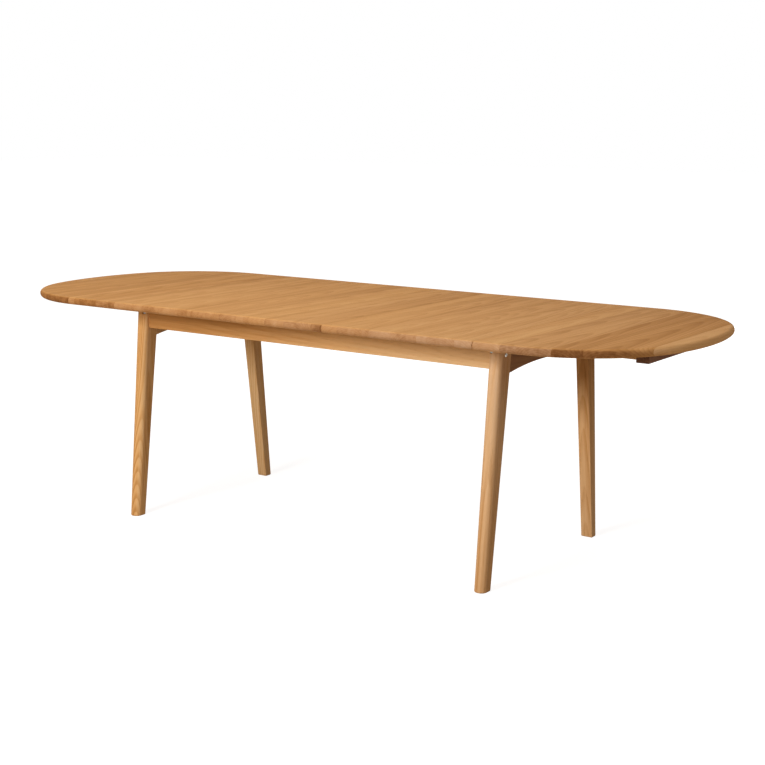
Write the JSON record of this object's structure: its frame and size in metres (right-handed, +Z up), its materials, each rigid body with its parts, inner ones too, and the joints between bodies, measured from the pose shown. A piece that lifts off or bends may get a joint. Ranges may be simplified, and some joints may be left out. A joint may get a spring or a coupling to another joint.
{
  "type": "extension dining table",
  "caption": "Oak dining table with a bullnosed rectangular top, splayed tapered legs, drawn-out bearers and round-ended end leaves.",
  "frame": {"origin": "floor level under the centre of the table top", "axes": "+X along the table's length to the right as pictured, -Y towards the viewer's long side, +Z up"},
  "size_m": [2.3828, 0.92, 0.73],
  "materials": {
    "top_oak": "oiled solid oak, grain across the table",
    "frame_oak": "oiled solid oak, grain along each piece",
    "inner_beech": "plain unoiled hardwood",
    "steel": "zinc-plated, satin"
  },
  "bodies": {
    "base": {"apron_back": "frame_oak", "apron_bolts": "steel", "apron_front": "frame_oak", "apron_nuts": "steel", "center_rail": "inner_beech", "corner_block_back_left": "inner_beech", "corner_block_back_right": "inner_beech", "corner_block_front_left": "inner_beech", "corner_block_front_right": "inner_beech", "end_rail_left": "frame_oak", "end_rail_right": "frame_oak", "guide_inner_back_left": "inner_beech", "guide_inner_back_right": "inner_beech", "guide_inner_front_left": "inner_beech", "guide_inner_front_right": "inner_beech", "guide_outer_back_left": "inner_beech", "guide_outer_back_right": "inner_beech", "guide_outer_front_left": "inner_beech", "guide_outer_front_right": "inner_beech", "leg_back_left": "frame_oak", "leg_back_right": "frame_oak", "leg_front_left": "frame_oak", "leg_front_right": "frame_oak", "main_top": "top_oak", "rail_bolts": "steel", "rail_nuts": "steel", "top_block_back_left": "inner_beech", "top_block_back_right": "inner_beech", "top_block_front_left": "inner_beech", "top_block_front_right": "inner_beech", "top_screws": "steel"},
    "right_bearers": {"bearer_back_right": "frame_oak", "bearer_front_right": "frame_oak", "cross_batten_right": "frame_oak", "stop_pegs_right": "inner_beech"},
    "left_bearers": {"bearer_back_left": "frame_oak", "bearer_front_left": "frame_oak", "cross_batten_left": "frame_oak", "stop_pegs_left": "inner_beech"},
    "right_leaf": {"dowels_right": "inner_beech", "leaf_right": "top_oak"},
    "left_leaf": {"dowels_left": "inner_beech", "leaf_left": "top_oak"}
  },
  "joints": [
    {"name": "right_bearers_slide", "type": "slide", "parent": "base", "child": "right_bearers", "axis": [1, 0, 0], "range_m": [-0.392, 0]},
    {"name": "left_bearers_slide", "type": "slide", "parent": "base", "child": "left_bearers", "axis": [-1, 0, 0], "range_m": [-0.392, 0]},
    {"name": "right_leaf_draw", "type": "slide", "parent": "base", "child": "right_leaf", "axis": [1, 0, 0], "range_m": [0, 0.15]},
    {"name": "left_leaf_draw", "type": "slide", "parent": "base", "child": "left_leaf", "axis": [-1, 0, 0], "range_m": [0, 0.15]}
  ]
}
